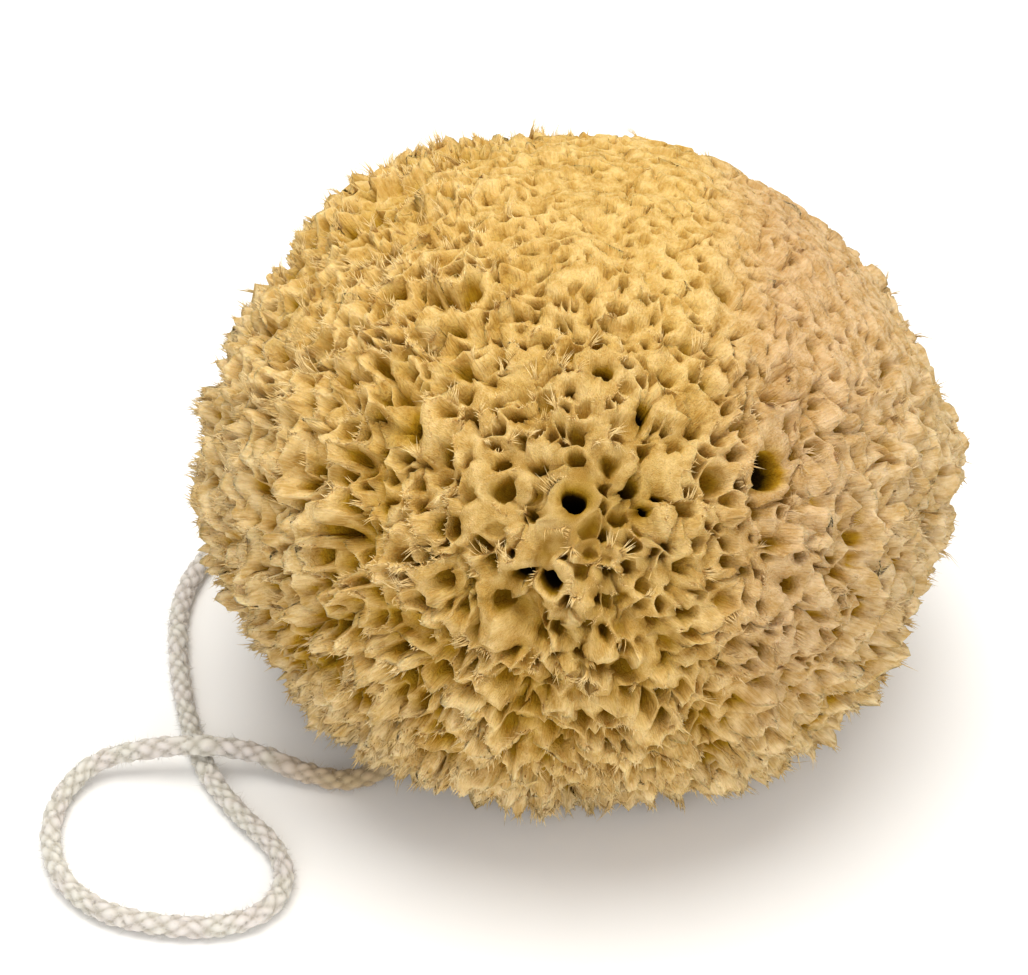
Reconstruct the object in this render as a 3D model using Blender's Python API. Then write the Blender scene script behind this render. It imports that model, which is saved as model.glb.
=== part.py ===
# A natural bath sponge, cut flat where it grew on the rock, with a loop of braided cotton cord through it.
# Units are metres, +Z is up, and the origin is the middle of the flat base.

import math
import random

import bmesh
import bpy
from mathutils import Vector, noise

MM = 0.001

# Sponge: a squat ball, 140 mm across with its tufts
SPONGE_HALF_WIDTH = 67.2 * MM
SPONGE_HALF_DEPTH = 65.0 * MM
SPONGE_HALF_HEIGHT = 55.6 * MM
SPONGE_MIDDLE = Vector((0.0, 0.0, 48.0 * MM))
# Canals and tufts all run out from this point
GROWTH_CENTRE = Vector((0.0, 0.0, 36.0 * MM))
# The block that cuts the base is wider than the sponge
CUT_BLOCK_SIZE = 0.3

# Broad swellings and hollows: azimuth and elevation in degrees, rise as a share of the radius, reach in degrees
LOBES = [
    (-38, -36, 0.050, 20),
    (-133, -40, 0.030, 18),
    (144, 37, 0.058, 20),
    (0, 1, 0.050, 9),
    (10, 14, -0.035, 12),
    (-172, -8, 0.028, 14),
    (75, 10, 0.025, 24),
    (32, 34, -0.020, 20),
    (162, 22, -0.018, 14),
    (-12, -16, -0.042, 17),
    (-90, 30, -0.030, 24),
    (-120, 62, 0.015, 18),
]

# How shaggy the surface is: 1 where it is all tufts, 0 where it is smooth, falling upwards and to the right
SHAG_AT_SIDES = 0.62
SHAG_LOSS_UPWARDS = 0.75
SHAG_LOSS_RIGHTWARDS = 0.15

# Pores: a pit for each, with a crest of tips around it
PORE_COUNT = 1340
PORE_SCATTER = 0.30
PORE_SEED = 7
PIT_DEPTH = (3.2 * MM, 7.5 * MM)
TIP_HEIGHT = (0.2 * MM, 2.6 * MM)
LONG_TIP_HEIGHT = (2.4 * MM, 5.0 * MM)
CREST_WAVE_HEIGHT = 1.1 * MM
CREST_WAVE_LENGTH = 11.0 * MM
# Each of these goes from its value where the surface is smooth to its value where it is shaggy
PIT_DEPTH_SHARE = (0.75, 1.10)
LONG_TIP_CHANCE = (0.08, 0.30)
LONG_TIP_SHARE = (0.55, 1.00)

# Oscula, the large outlets, at the ends of deep canals
OSCULUM_DEPTH = 22.0 * MM
OSCULUM_LIP_DEPTH = 1.2 * MM
OSCULUM_NARROWING = 0.9
RING_INSET = 0.001
# The front ones are placed as someone sees them from in front and above
SIGHT_ELEVATION = 38
SIGHT_DISTANCE = 519.0 * MM
# Right of the sponge's middle, up from it, and width, in millimetres
FRONT_OSCULA = [
    (-1.0, -7.8, 5.6),
    (-10.0, -21.0, 4.8),
    (-4.5, -22.4, 5.2),
    (35.0, 0.0, 6.6),
    (11.5, 9.5, 4.6),
    (4.0, 16.7, 4.6),
    (14.0, 12.2, 4.0),
    (-14.0, -5.1, 4.6),
    (-30.5, 4.9, 5.2),
    (-24.5, 0.4, 5.2),
    (-13.5, -27.0, 5.0),
    (-46.0, -13.3, 4.4),
    (-54.0, 16.4, 4.4),
    (13.5, -6.9, 4.8),
    (21.0, 5.8, 4.2),
    (26.0, 32.2, 4.2),
    (16.5, -12.4, 4.0),
]
# The others: azimuth and elevation in degrees, and width in millimetres
OTHER_OSCULA = [
    (18, 36, 4.4),
    (52, 12, 4.0),
    (84, 44, 5.0),
    (98, 20, 4.2),
    (121, 54, 4.4),
    (146, 8, 4.0),
    (-12, 30, 4.2),
    (-28, -4, 3.8),
]

# Cord: white braided cotton, 4 mm thick
CORD_RADIUS = 2.0 * MM
CORD_STEP = 8.0 * MM
CORD_BEVEL_RESOLUTION = 2
ROUTE_READINGS = 24
# The route in millimetres, from the end held in the sponge's left back, round the loop on the surface and over
# itself, to the end held in its left front
CORD_ROUTE = [
    (-23.0, 17.5, 15.0),
    (-30.0, 23.0, 11.5),
    (-37.0, 28.5, 8.0),
    (-48.5, 36.0, 3.4),
    (-60.0, 37.0, 2.1),
    (-69.6, 31.6, 2.1),
    (-75.0, 22.4, 2.1),
    (-77.1, 11.0, 2.1),
    (-76.2, -1.4, 2.1),
    (-73.8, -13.6, 2.1),
    (-70.4, -25.8, 2.1),
    (-66.2, -36.0, 2.1),
    (-60.0, -45.2, 2.1),
    (-53.1, -53.3, 2.1),
    (-50.4, -61.0, 2.1),
    (-52.6, -68.5, 2.1),
    (-59.8, -72.6, 2.1),
    (-70.2, -72.8, 2.1),
    (-81.0, -69.7, 2.1),
    (-89.1, -62.4, 2.1),
    (-92.9, -51.6, 2.1),
    (-91.9, -41.2, 2.3),
    (-86.6, -34.3, 3.4),
    (-77.4, -32.6, 5.3),
    (-68.0, -32.6, 6.4),
    (-58.4, -32.6, 4.9),
    (-49.2, -35.2, 2.8),
    (-40.2, -36.6, 2.5),
    (-31.2, -33.2, 4.9),
    (-23.7, -28.6, 8.3),
    (-16.2, -24.0, 11.7),
]
# Each end of the cord sits in a socket, with this much room round it and past it
SOCKET_ROOM = 1.3 * MM
SOCKET_SIDES = 12
SOCKET_MOUTH_LENGTH = 9.0 * MM

SPONGE_COLOUR = (0.62, 0.42, 0.16, 1.0)
COTTON_COLOUR = (0.82, 0.76, 0.66, 1.0)


def clear_scene():
    for thing in list(bpy.data.objects):
        bpy.data.objects.remove(thing, do_unlink=True)


def make_collection(name):
    collection = bpy.data.collections.new(name)
    bpy.context.scene.collection.children.link(collection)
    return collection


def make_material(name, colour, roughness):
    material = bpy.data.materials.new(name)
    material.use_nodes = True
    shader = material.node_tree.nodes["Principled BSDF"]
    shader.inputs["Base Color"].default_value = colour
    shader.inputs["Roughness"].default_value = roughness
    shader.inputs["Metallic"].default_value = 0.0
    return material


def add_object(name, data, collection, material=None):
    thing = bpy.data.objects.new(name, data)
    collection.objects.link(thing)
    if material:
        data.materials.append(material)
    return thing


def mesh_from(builder, name):
    """A mesh of a bmesh, which is freed."""
    mesh = bpy.data.meshes.new(name)
    builder.to_mesh(mesh)
    builder.free()
    return mesh


def direction_from_angles(azimuth, elevation):
    """Unit vector of an azimuth and an elevation in degrees."""
    azimuth = math.radians(azimuth)
    elevation = math.radians(elevation)
    level = math.cos(elevation)
    return Vector((level * math.cos(azimuth), level * math.sin(azimuth), math.sin(elevation)))


def form_radius(direction):
    """Distance from the sponge's middle to its smooth form: a squat ball with broad lobes."""
    radius = 1.0 / math.sqrt(
        (direction.x / SPONGE_HALF_WIDTH) ** 2
        + (direction.y / SPONGE_HALF_DEPTH) ** 2
        + (direction.z / SPONGE_HALF_HEIGHT) ** 2
    )
    swelling = 0.0
    for azimuth, elevation, rise, reach in LOBES:
        away = direction.angle(direction_from_angles(azimuth, elevation))
        swelling += rise * math.exp(-((away / math.radians(reach)) ** 2))
    return radius * (1.0 + swelling)


def seen_direction(right, up):
    """Direction from the sponge's middle to the point of its form seen right and up of the middle, in mm."""
    sight = -direction_from_angles(-90, SIGHT_ELEVATION)
    eye = -sight * SIGHT_DISTANCE
    upward = Vector((1.0, 0.0, 0.0)).cross(sight)
    ray = (Vector((right * MM, 0.0, 0.0)) + upward * up * MM - eye).normalized()
    reach = SIGHT_DISTANCE - SPONGE_HALF_WIDTH
    point = eye + ray * reach
    while point.length > form_radius(point.normalized()) and reach < SIGHT_DISTANCE:
        reach += MM
        point = eye + ray * reach
    return point.normalized()


def shagginess(direction):
    shag = SHAG_AT_SIDES - SHAG_LOSS_UPWARDS * direction.z - SHAG_LOSS_RIGHTWARDS * direction.x
    return min(1.0, max(0.0, shag))


def between(pair, share):
    return pair[0] + (pair[1] - pair[0]) * share


def pore_directions(chance):
    """Pore directions, spread evenly by the golden angle and then scattered a little."""
    golden_angle = math.pi * (3.0 - math.sqrt(5.0))
    spacing = math.sqrt(4.0 * math.pi / PORE_COUNT)
    directions = []
    for index in range(PORE_COUNT):
        height = 1.0 - 2.0 * (index + 0.5) / PORE_COUNT
        level = math.sqrt(1.0 - height * height)
        turn = index * golden_angle
        even = Vector((level * math.cos(turn), level * math.sin(turn), height))
        scatter = Vector([chance.uniform(-1.0, 1.0) for _ in range(3)]) * PORE_SCATTER * spacing
        directions.append((even + scatter).normalized())
    return directions


def crest_network(directions):
    """A unit sphere with a pit vertex at each pore, a tip vertex between each three, and edges from tip to tip.

    The hull of the pores joins neighbours. Poking its faces adds the tips, and turning the hull's own edges
    makes the crests run from tip to tip, round each pit.
    """
    network = bmesh.new()
    level = network.verts.layers.float.new("level")
    for direction in directions:
        network.verts.new(direction)
    bmesh.ops.convex_hull(network, input=network.verts[:])
    hull_edges = network.edges[:]
    pits = network.verts[:]
    tips = bmesh.ops.poke(network, faces=network.faces[:])["verts"]
    for tip in tips:
        tip.co.normalize()
    bmesh.ops.rotate_edges(network, edges=hull_edges)
    return network, pits, tips, level


def set_levels(pits, tips, level, chance):
    """Height of each vertex over the smooth form: pits below it, tips above it, all on a slow wave.

    The form is left whole where the flat cut takes it away.
    """
    for vertex in pits + tips:
        place = vertex.co * form_radius(vertex.co)
        vertex[level] = CREST_WAVE_HEIGHT * noise.noise(place / CREST_WAVE_LENGTH)
    for pit in pits:
        depth = chance.uniform(*PIT_DEPTH) * between(PIT_DEPTH_SHARE, shagginess(pit.co))
        if pit.co.z * form_radius(pit.co) + SPONGE_MIDDLE.z > 0.0:
            pit[level] -= depth
    for tip in tips:
        shag = shagginess(tip.co)
        if chance.random() < between(LONG_TIP_CHANCE, shag):
            tip[level] += chance.uniform(*LONG_TIP_HEIGHT) * between(LONG_TIP_SHARE, shag)
        else:
            tip[level] += chance.uniform(*TIP_HEIGHT)


def add_ring(network, pit, level, radius, depth):
    """Inset the fan of faces round a pit, and put the new ring at a radius and a depth below the form."""
    bmesh.ops.inset_region(network, faces=pit.link_faces[:], thickness=RING_INSET)
    for edge in pit.link_edges:
        corner = edge.other_vert(pit)
        corner.co = (pit.co + (corner.co - pit.co).normalized() * radius).normalized()
        corner[level] = -depth


def open_osculum(network, pits, level, direction, width):
    """Turn the pit nearest a direction into the end of a deep canal."""
    pit = max(pits, key=lambda vertex: vertex.co.dot(direction))
    radius = 0.5 * width * MM / form_radius(pit.co)
    add_ring(network, pit, level, radius, OSCULUM_LIP_DEPTH)
    add_ring(network, pit, level, radius * OSCULUM_NARROWING, OSCULUM_DEPTH)
    pit[level] = -OSCULUM_DEPTH


def build_sponge(collection, material):
    chance = random.Random(PORE_SEED)
    network, pits, tips, level = crest_network(pore_directions(chance))
    set_levels(pits, tips, level, chance)
    for right, up, width in FRONT_OSCULA:
        open_osculum(network, pits, level, seen_direction(right, up), width)
    for azimuth, elevation, width in OTHER_OSCULA:
        open_osculum(network, pits, level, direction_from_angles(azimuth, elevation), width)
    for vertex in network.verts:
        place = SPONGE_MIDDLE + vertex.co * form_radius(vertex.co)
        vertex.co = place + (place - GROWTH_CENTRE).normalized() * vertex[level]
    bmesh.ops.recalc_face_normals(network, faces=network.faces[:])
    return add_object("sponge", mesh_from(network, "sponge"), collection, material)


def smooth_route():
    """Points along a smooth curve through the route, closely spaced, by the Catmull-Rom rule."""
    stops = [Vector(stop) * MM for stop in CORD_ROUTE]
    stops = [2 * stops[0] - stops[1]] + stops + [2 * stops[-1] - stops[-2]]
    points = []
    for a, b, c, d in zip(stops, stops[1:], stops[2:], stops[3:]):
        for reading in range(ROUTE_READINGS):
            t = reading / ROUTE_READINGS
            square = (2 * a - 5 * b + 4 * c - d) * t**2
            cube = (3 * b - a - 3 * c + d) * t**3
            points.append(0.5 * (2 * b + (c - a) * t + square + cube))
    points.append(stops[-2])
    return points


def even_points(points, step):
    """Points of a path at even distances along it, about a step apart, with both its ends."""
    distances = [0.0]
    for start, end in zip(points, points[1:]):
        distances.append(distances[-1] + (end - start).length)
    count = round(distances[-1] / step)
    chosen = []
    index = 0
    for number in range(count):
        target = distances[-1] * number / count
        while distances[index + 1] < target:
            index += 1
        share = (target - distances[index]) / (distances[index + 1] - distances[index])
        chosen.append(points[index].lerp(points[index + 1], share))
    return chosen + [points[-1]]


def build_cord(collection, material):
    points = even_points(smooth_route(), CORD_STEP)
    curve = bpy.data.curves.new("cord", "CURVE")
    curve.dimensions = "3D"
    curve.bevel_depth = CORD_RADIUS
    curve.bevel_resolution = CORD_BEVEL_RESOLUTION
    curve.use_fill_caps = True
    spline = curve.splines.new("POLY")
    spline.points.add(len(points) - 1)
    for spot, point in zip(spline.points, points):
        spot.co = (*point, 1.0)
    spline.use_smooth = True
    return add_object("cord", curve, collection, material)


def add_cutter(name, builder, collection):
    cutter = add_object(name, mesh_from(builder, name), collection)
    cutter.hide_render = True
    cutter.display_type = "WIRE"
    return cutter


def build_cut_block(collection):
    """A block that ends at the surface the sponge rests on."""
    block = bmesh.new()
    bmesh.ops.create_cube(block, size=CUT_BLOCK_SIZE)
    cutter = add_cutter("Cut block", block, collection)
    cutter.location.z = -0.5 * CUT_BLOCK_SIZE
    return cutter


def build_socket_cutter(name, inner_stop, outer_stop, collection):
    """A round cutter along the straight end of the cord, wider than it and open outwards."""
    inner = Vector(inner_stop) * MM
    outer = Vector(outer_stop) * MM
    along = (outer - inner).normalized()
    start = inner - along * SOCKET_ROOM
    end = outer + along * SOCKET_MOUTH_LENGTH
    radius = CORD_RADIUS + SOCKET_ROOM
    rod = bmesh.new()
    bmesh.ops.create_cone(
        rod, cap_ends=True, segments=SOCKET_SIDES, radius1=radius, radius2=radius, depth=(end - start).length
    )
    cutter = add_cutter(name, rod, collection)
    cutter.location = (start + end) / 2
    cutter.rotation_euler = along.to_track_quat("Z", "Y").to_euler()
    return cutter


def cut_away(thing, cutters):
    for cutter in cutters:
        modifier = thing.modifiers.new(cutter.name, "BOOLEAN")
        modifier.operation = "DIFFERENCE"
        modifier.solver = "EXACT"
        modifier.object = cutter


def main():
    clear_scene()
    parts = make_collection("Sea sponge")
    cutters = make_collection("Cutters")
    sponge = build_sponge(parts, make_material("Sponge fibre", SPONGE_COLOUR, 0.9))
    build_cord(parts, make_material("Braided cotton", COTTON_COLOUR, 0.85))
    cut_away(sponge, [
        build_cut_block(cutters),
        build_socket_cutter("Back socket", CORD_ROUTE[0], CORD_ROUTE[2], cutters),
        build_socket_cutter("Front socket", CORD_ROUTE[-1], CORD_ROUTE[-3], cutters),
    ])


main()
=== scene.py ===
import math

import bmesh
import bpy
import numpy as np
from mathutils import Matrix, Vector


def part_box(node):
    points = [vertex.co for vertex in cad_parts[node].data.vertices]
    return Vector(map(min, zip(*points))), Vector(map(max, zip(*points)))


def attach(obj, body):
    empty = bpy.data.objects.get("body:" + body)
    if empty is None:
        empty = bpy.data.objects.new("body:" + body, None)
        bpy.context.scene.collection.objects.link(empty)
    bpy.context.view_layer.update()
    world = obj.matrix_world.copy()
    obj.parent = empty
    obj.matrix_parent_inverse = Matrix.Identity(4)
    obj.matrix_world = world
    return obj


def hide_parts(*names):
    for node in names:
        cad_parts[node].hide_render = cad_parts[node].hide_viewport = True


mm = 0.001
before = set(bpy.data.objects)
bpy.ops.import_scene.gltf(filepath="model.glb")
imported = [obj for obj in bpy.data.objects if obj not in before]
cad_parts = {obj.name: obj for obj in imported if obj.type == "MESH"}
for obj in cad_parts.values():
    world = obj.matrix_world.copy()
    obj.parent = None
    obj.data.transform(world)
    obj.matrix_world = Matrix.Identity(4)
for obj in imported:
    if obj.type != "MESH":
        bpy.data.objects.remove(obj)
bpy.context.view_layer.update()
print("frame loaded")


# Helpers

def linearColour(hexText, alpha=1.0):
    # Each sRGB channel c becomes c / 12.92 below 0.04045 and ((c + 0.055) / 1.055) ** 2.4 above it
    channels = [int(hexText[place:place + 2], 16) / 255 for place in (1, 3, 5)]
    linear = [c / 12.92 if c <= 0.04045 else ((c + 0.055) / 1.055) ** 2.4 for c in channels]
    return (*linear, alpha)


def addNode(tree, kind, settings=None, links=None):
    # Settings are the node's own attributes; links give each input, by name or number, a value or an output
    node = tree.nodes.new(kind)
    for name, value in (settings or {}).items():
        setattr(node, name, value)
    for name, source in (links or {}).items():
        if isinstance(source, bpy.types.NodeSocket):
            tree.links.new(source, node.inputs[name])
        else:
            node.inputs[name].default_value = source
    return node


def unit(vectors):
    return vectors / np.linalg.norm(vectors, axis=-1, keepdims=True)


def between(pair, share):
    return pair[0] + (pair[1] - pair[0]) * share


def makeMesh(name, points, quads, triangles, material, marks=None):
    # Whole arrays go into the mesh; marks are named values, one for each point
    mesh = bpy.data.meshes.new(name)
    corners = np.concatenate([quads.ravel(), triangles.ravel()]).astype(np.int32)
    starts = np.concatenate([np.arange(len(quads)) * 4, len(quads) * 4 + np.arange(len(triangles)) * 3])
    mesh.vertices.add(len(points))
    mesh.vertices.foreach_set("co", np.ascontiguousarray(points, dtype=np.float32).ravel())
    mesh.loops.add(len(corners))
    mesh.loops.foreach_set("vertex_index", corners)
    mesh.polygons.add(len(starts))
    mesh.polygons.foreach_set("loop_start", starts.astype(np.int32))
    mesh.update(calc_edges=True)
    mesh.polygons.foreach_set("use_smooth", np.ones(len(starts), dtype=bool))
    for mark, values in (marks or {}).items():
        layer = mesh.attributes.new(mark, "FLOAT", "POINT")
        layer.data.foreach_set("value", np.ascontiguousarray(values, dtype=np.float32))
    mesh.materials.append(material)
    piece = bpy.data.objects.new(name, mesh)
    bpy.context.scene.collection.objects.link(piece)
    return piece


def mergedGrid(points, quads, triangles, mark):
    # Points that meet within a ten-thousandth of a millimetre become one, so seams and poles are closed
    used = np.union1d(quads, triangles)
    keys = np.round(points[used] / (0.0001 * mm)).astype(np.int64)
    single, first, place = np.unique(keys, axis=0, return_index=True, return_inverse=True)
    lookup = np.zeros(len(points), dtype=np.int64)
    lookup[used] = place.ravel()
    return points[used][first], lookup[quads], lookup[triangles], mark[used][first]


def latticeNoise(points, waveLength, seed):
    # Three values in -1..1 for each point: random vectors at the corners of a lattice, mixed by a smooth fade
    table = np.random.default_rng(seed).uniform(-1.0, 1.0, (8192, 3))
    spots = points / waveLength
    corner = np.floor(spots).astype(np.int64)
    part = spots - corner
    part = part * part * (3.0 - 2.0 * part)
    total = np.zeros(points.shape)
    for step in np.ndindex(2, 2, 2):
        x, y, z = (corner[..., axis] + step[axis] for axis in range(3))
        weight = np.prod(np.where(step, part, 1.0 - part), axis=-1)
        total += table[(x * 73856093 ^ y * 19349663 ^ z * 83492791) & 8191] * weight[..., None]
    return total


# The sponge's smooth form, which the camera looks at

spongeForm = {
    "middleShare": 0.4541,                        # height of the form's middle over the whole height
    "tuftRoom": (4.25 * mm, 4.0 * mm, 2.1 * mm),  # tufts stand this far past the smooth form
    "growthHeight": 36.0 * mm,                    # the form is drawn in to this point where it would be under the base
    "canalCentre": (0.0, -23.0 * mm, 50.0 * mm),  # canals and tufts run out from here, nearer the front face
    "lobes": (                                    # azimuth and elevation, rise over radius, reach in degrees
        (-38, -36, 0.050, 20), (-133, -40, 0.030, 18), (144, 37, 0.058, 20), (0, 1, 0.050, 9),
        (10, 14, -0.035, 12), (-172, -8, 0.028, 14), (75, 10, 0.025, 24), (32, 34, -0.020, 20),
        (162, 22, -0.018, 14), (-12, -16, -0.042, 17), (-90, 30, -0.030, 24), (-120, 62, 0.015, 18),
    ),
}
spongeLow, spongeHigh = (np.array(corner, dtype=float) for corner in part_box("sponge"))
formMiddle = np.array([0.0, 0.0, spongeForm["middleShare"] * spongeHigh[2]])
formHalf = np.array([*(spongeHigh - spongeLow)[:2] / 2, spongeHigh[2] - formMiddle[2]]) - spongeForm["tuftRoom"]
growthCentre = np.array([0.0, 0.0, spongeForm["growthHeight"]])
canalCentre = np.array(spongeForm["canalCentre"])


# Camera: in front and above, as in the photograph

cameraView = {
    "photoSize": (1028, 975),
    "elevation": 38.0,            # degrees above the horizon
    "distance": 519 * mm,         # from the sponge's middle
    "lens": 100.0,                # mm, on a 36 mm sensor
    "sensor": 36.0,
    "middleInPhoto": (578, 461),  # pixel where the sponge's middle shows
}


def makeCamera(view):
    tilt = math.radians(view["elevation"])
    right = np.array([1.0, 0.0, 0.0])
    back = np.array([0.0, -math.cos(tilt), math.sin(tilt)])
    up = np.array([0.0, math.sin(tilt), math.cos(tilt)])
    pixel = view["distance"] * view["sensor"] / (view["lens"] * view["photoSize"][0])   # metres seen in one pixel
    eye = formMiddle + back * view["distance"]
    offRight = view["photoSize"][0] / 2 - view["middleInPhoto"][0]
    offUp = view["middleInPhoto"][1] - view["photoSize"][1] / 2
    aim = formMiddle + pixel * (offRight * right + offUp * up)
    data = bpy.data.cameras.new("photoCamera")
    data.lens = view["lens"]
    data.sensor_width = view["sensor"]
    data.clip_start = 0.01
    camera = bpy.data.objects.new("photoCamera", data)
    camera.location = eye
    camera.rotation_euler = Vector(aim - eye).to_track_quat("-Z", "Y").to_euler()
    bpy.context.scene.collection.objects.link(camera)
    bpy.context.scene.camera = camera
    return eye


eyePoint = makeCamera(cameraView)
print("camera placed")


# Cord: eight cotton strands braided, four each way round, threaded through the sponge

cordShape = {
    "radius": 2.0 * mm,
    "route": (                    # millimetres, from the back socket round the loop to the front one
        (-23.0, 17.5, 15.0), (-30.0, 23.0, 11.5), (-37.0, 28.5, 8.0), (-48.5, 36.0, 3.4), (-60.0, 37.0, 2.1),
        (-69.6, 31.6, 2.1), (-75.0, 22.4, 2.1), (-77.1, 11.0, 2.1), (-76.2, -1.4, 2.1), (-73.8, -13.6, 2.1),
        (-70.4, -25.8, 2.1), (-66.2, -36.0, 2.1), (-60.0, -45.2, 2.1), (-53.1, -53.3, 2.1), (-50.4, -61.0, 2.1),
        (-52.6, -68.5, 2.1), (-59.8, -72.6, 2.1), (-70.2, -72.8, 2.1), (-81.0, -69.7, 2.1), (-89.1, -62.4, 2.1),
        (-92.9, -51.6, 2.1), (-91.9, -41.2, 2.3), (-86.6, -34.3, 3.4), (-77.4, -32.6, 5.3), (-68.0, -32.6, 6.4),
        (-58.4, -32.6, 4.9), (-49.2, -35.2, 2.8), (-40.2, -36.6, 2.5), (-31.2, -33.2, 4.9), (-23.7, -28.6, 8.3),
        (-16.2, -24.0, 11.7),
    ),
    "strands": 4,                 # each way round
    "strandLength": 3.8 * mm,     # from where a strand comes up to where it goes under
    "strandRise": 0.68 * mm,
    "strandSlip": 0.48,           # of a strand's width, so that no two crossings are quite alike
    "ringStep": 0.36 * mm,
    "around": 26,
    "leaves": (-37.0 * mm, 28.5 * mm, 8.0 * mm),
    "fuzzCount": 3600,
    "fuzzLength": (0.5 * mm, 1.4 * mm),
    "fuzzWidth": 0.05 * mm,
}
cordChance = np.random.default_rng(5)


def smoothCurve(route, readings):
    # Catmull-Rom rule between stops b and c with neighbours a and d, at share t of the way:
    # (2 b + (c - a) t + (2 a - 5 b + 4 c - d) t**2 + (3 b - a - 3 c + d) t**3) / 2
    stops = np.array(route) * mm
    stops = np.concatenate([2 * stops[:1] - stops[1:2], stops, 2 * stops[-1:] - stops[-2:-1]])
    a, b, c, d = (stops[first:len(stops) - 3 + first, None] for first in range(4))
    t = np.linspace(0.0, 1.0, readings, endpoint=False)[None, :, None]
    curve = (2 * b + (c - a) * t + (2 * a - 5 * b + 4 * c - d) * t ** 2 + (3 * b - a - 3 * c + d) * t ** 3) / 2
    return np.concatenate([curve.reshape(-1, 3), stops[-2:-1]])


def evenPoints(path, step):
    # Points at even distances along the path, about a step apart
    along = np.concatenate([[0.0], np.cumsum(np.linalg.norm(np.diff(path, axis=0), axis=1))])
    even = np.linspace(0.0, along[-1], int(round(along[-1] / step)) + 1)
    return np.stack([np.interp(even, along, path[:, axis]) for axis in range(3)], -1), even


def braidRise(turns, along, shape):
    # Two families of strands: a = strands * turns + along / length and b = strands * turns - along / length.
    # Where floor(a) + floor(b) is even the first lies on top; a strand is round across and arched along
    where = np.broadcast_arrays(20 * mm * np.cos(2 * math.pi * turns), 20 * mm * np.sin(2 * math.pi * turns), along)
    slip = shape["strandSlip"] * latticeNoise(np.stack(where, -1) * np.array([0.1, 0.1, 1.0]), 3.1 * mm, 42)
    a = shape["strands"] * turns + along / shape["strandLength"] + slip[..., 0]
    b = shape["strands"] * turns - along / shape["strandLength"] + slip[..., 1]
    firstOnTop = (np.floor(a) + np.floor(b)) % 2 == 0
    waveA = np.abs(np.sin(math.pi * a))
    waveB = np.abs(np.sin(math.pi * b))
    across, lengthwise = np.where(firstOnTop, waveA, waveB), np.where(firstOnTop, waveB, waveA)
    return across ** 0.6 * (0.45 + 0.55 * lengthwise ** 0.8)


def tubeFrame(centres):
    # Forward along the path, level sideways and upright, at each centre
    forward = unit(np.gradient(centres, axis=0))
    side = unit(np.cross(forward, [0.0, 0.0, 1.0]))
    return forward, side, np.cross(side, forward)


def makeCord(shape, material):
    # Centre + (cos(angle) side + sin(angle) upright) * (radius - rise + rise * braid), with both ends rounded off
    centres, along = evenPoints(smoothCurve(shape["route"], 24), shape["ringStep"])
    forward, side, upright = tubeFrame(centres)
    turns = np.arange(shape["around"]) / shape["around"]
    braid = braidRise(turns[None, :], along[:, None], shape)
    outside = shape["radius"] - shape["strandRise"] + shape["strandRise"] * braid
    slack = latticeNoise(centres, 7.0 * mm, 41)[:, :1] * 0.06 * mm
    slack = slack + latticeNoise(centres, 2.2 * mm, 43)[:, :1] * 0.12 * mm
    ending = np.sqrt(np.clip(np.minimum(along, along[-1] - along) / shape["radius"], 0.0, 1.0))[:, None]
    radii = (outside + slack) * ending
    angle = 2.0 * math.pi * turns
    out = np.cos(angle)[None, :, None] * side[:, None] + np.sin(angle)[None, :, None] * upright[:, None]
    points = centres[:, None] + out * radii[..., None]
    rings, around = radii.shape
    here = np.arange(rings * around).reshape(rings, around)
    after = np.roll(here, -1, axis=1)
    quads = np.stack([here[:-1], here[1:], after[1:], after[:-1]], -1).reshape(-1, 4)
    points, quads, triangles, rise = mergedGrid(points.reshape(-1, 3), quads, np.zeros((0, 3), int), braid.ravel())
    whole = np.array([len(set(quad)) == 4 for quad in quads.tolist()])
    tips = np.array([list(dict.fromkeys(quad)) for quad in quads[~whole].tolist()])
    piece = makeMesh("cord", points, quads[whole], tips, material, {"rise": rise})
    return piece, centres, along


def makeSpikes(name, roots, axes, widthways, lengths, widths, thickness, lean, material, marks, bent=True):
    # Each spike is a three-sided taper: ring at the root, a ring 0.55 of the way if it is bent, point;
    # it leans by the end
    depthways = np.cross(axes, widthways)
    ring = np.stack([
        -widths[:, None] * widthways - 0.5 * thickness[:, None] * depthways,
        widths[:, None] * widthways - 0.5 * thickness[:, None] * depthways,
        thickness[:, None] * depthways,
    ], 1)
    half = roots + axes * 0.55 * lengths[:, None] + lean * 0.35
    tip = roots + axes * lengths[:, None] + lean
    if bent:
        points = np.concatenate([roots[:, None] + ring, half[:, None] + 0.62 * ring, tip[:, None]], 1)
        pattern = [(0, 2, 1), (0, 1, 4), (0, 4, 3), (1, 2, 5), (1, 5, 4), (2, 0, 3), (2, 3, 5),
                   (3, 4, 6), (4, 5, 6), (5, 3, 6)]
        steps = np.array([0.0, 0.0, 0.0, 0.5, 0.5, 0.5, 1.0])
    else:
        points = np.concatenate([roots[:, None] + ring, tip[:, None]], 1)
        pattern = [(0, 2, 1), (0, 1, 3), (1, 2, 3), (2, 0, 3)]
        steps = np.array([0.0, 0.0, 0.0, 1.0])
    triangles = (np.arange(len(roots)) * len(steps))[:, None, None] + np.array(pattern)[None]
    values = {mark: (low[:, None] + (high - low)[:, None] * steps).ravel() for mark, (low, high) in marks.items()}
    return makeMesh(name, points.reshape(-1, 3), np.zeros((0, 4), int), triangles.reshape(-1, 3), material, values)


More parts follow.
